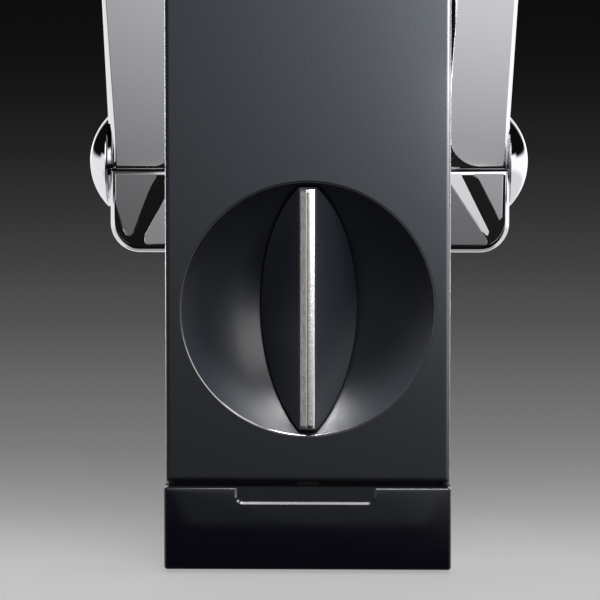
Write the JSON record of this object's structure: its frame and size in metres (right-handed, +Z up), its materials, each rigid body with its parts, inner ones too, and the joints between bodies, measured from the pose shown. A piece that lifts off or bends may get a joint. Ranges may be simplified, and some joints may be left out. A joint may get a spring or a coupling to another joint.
{
  "type": "electric can opener",
  "caption": "Upright electric can opener with a black tower, a wedge grip in a round dish, a chrome lever yoke hinged at the sides and a pull-out drip tray in the base.",
  "frame": {"origin": "bottom centre of the opener's box, on the surface it stands on", "axes": "+Z up, the front with the dish and the tray faces -Y, +X to the right seen from behind the front face looking along +Y"},
  "size_m": [0.1106, 0.1362, 0.247],
  "materials": {
    "housing_black": "fine satin texture",
    "dish_black": "satin",
    "tray_black": "satin",
    "pan_grey": "matte",
    "chrome_trim": "chrome plated",
    "strip_metal": "polished",
    "steel": "machined",
    "motor_steel": "plated",
    "magnet_ferrite": "matte",
    "brass": "turned",
    "gear_nylon": "moulded",
    "inner_black": "moulded",
    "board_green": "coated",
    "rubber": "matte"
  },
  "bodies": {
    "frame": {"front_cover": "housing_black", "rear_cover": "housing_black", "housing_screws": "steel", "cord_inlet": "rubber", "base_housing": "housing_black", "base_screws": "steel", "base_plate": "inner_black", "ballast_plate": "steel", "non_slip_pad": "rubber", "tray_catch": "steel", "control_dish": "dish_black", "selector_switch": "inner_black", "left_bracket": "chrome_trim", "right_bracket": "chrome_trim", "bracket_screws": "steel", "pivot_bushes": "brass", "start_switch": "inner_black", "can_guide_pins": "steel", "drive_bush": "brass", "front_gear_plate": "steel", "rear_gear_plate": "steel", "plate_spacers": "steel", "motor_can": "motor_steel", "motor_end_cap": "inner_black", "motor_magnets": "magnet_ferrite", "control_board": "board_green"},
    "lever": {"left_arm": "chrome_trim", "right_arm": "chrome_trim", "left_pivot_cap": "chrome_trim", "right_pivot_cap": "chrome_trim", "pivot_shaft": "steel", "handle_bar": "chrome_trim", "handle_grip": "rubber", "lift_pinion": "gear_nylon"},
    "cutter_carriage": {"lift_rack": "gear_nylon", "cutter_head": "steel", "cutter_axle": "steel", "magnet_pin": "steel"},
    "cutter_disc": {"cutter_wheel": "steel"},
    "magnet_holder": {"magnet_arm": "inner_black", "lid_magnet": "steel"},
    "drive_stage": {"drive_shaft": "steel", "drive_gear": "gear_nylon", "feed_wheel": "steel"},
    "second_stage": {"second_shaft": "steel", "second_gear": "gear_nylon", "second_pinion": "gear_nylon"},
    "first_stage": {"first_shaft": "steel", "first_gear": "gear_nylon", "first_pinion": "gear_nylon"},
    "motor_armature": {"motor_rotor": "steel", "motor_shaft": "steel", "motor_pinion": "brass", "cooling_fan": "inner_black"},
    "selector": {"control_knob": "dish_black", "knob_strip": "strip_metal", "selector_spindle": "inner_black"},
    "tray": {"tray_front": "tray_black", "drip_tray": "pan_grey"}
  },
  "joints": [
    {"name": "lever_swing", "type": "hinge", "parent": "frame", "child": "lever", "pos_m": [0, 0.0051, 0.0918], "axis": [1, 0, 0], "range_deg": [-45, 0]},
    {"name": "cutter_lift", "type": "slide", "parent": "frame", "child": "cutter_carriage", "axis": [0, 0, 1], "range_m": [-0.0064, 0]},
    {"name": "cutter_spin", "type": "hinge", "parent": "cutter_carriage", "child": "cutter_disc", "pos_m": [0, -0.0349, 0.1913], "axis": [0, 1, 0], "continuous": true},
    {"name": "magnet_tilt", "type": "hinge", "parent": "cutter_carriage", "child": "magnet_holder", "pos_m": [0, -0.0383, 0.2045], "axis": [1, 0, 0], "range_deg": [-60, 0]},
    {"name": "motor_spin", "type": "hinge", "parent": "frame", "child": "motor_armature", "pos_m": [-0.004, 0.0121, 0.12193], "axis": [0, 1, 0], "continuous": true},
    {"name": "first_spin", "type": "hinge", "parent": "frame", "child": "first_stage", "pos_m": [0.011, -0.0129, 0.13748], "axis": [0, 1, 0], "continuous": true},
    {"name": "second_spin", "type": "hinge", "parent": "frame", "child": "second_stage", "pos_m": [-0.009, -0.0129, 0.14883], "axis": [0, 1, 0], "continuous": true},
    {"name": "feed_spin", "type": "hinge", "parent": "frame", "child": "drive_stage", "pos_m": [0, -0.0179, 0.17], "axis": [0, 1, 0], "continuous": true},
    {"name": "selector_turn", "type": "hinge", "parent": "frame", "child": "selector", "pos_m": [0, -0.0279, 0.0596], "axis": [0, 1, 0], "range_deg": [-60, 60]},
    {"name": "tray_slide", "type": "slide", "parent": "frame", "child": "tray", "axis": [0, -1, 0], "range_m": [0, 0.055]}
  ],
  "couplings": [
    {"joint": "cutter_lift", "follows": "lever_swing", "m_per_rad": 0.008},
    {"joint": "first_spin", "follows": "motor_spin", "ratio": -0.28571},
    {"joint": "second_spin", "follows": "motor_spin", "ratio": 0.10084},
    {"joint": "feed_spin", "follows": "motor_spin", "ratio": -0.035591}
  ]
}
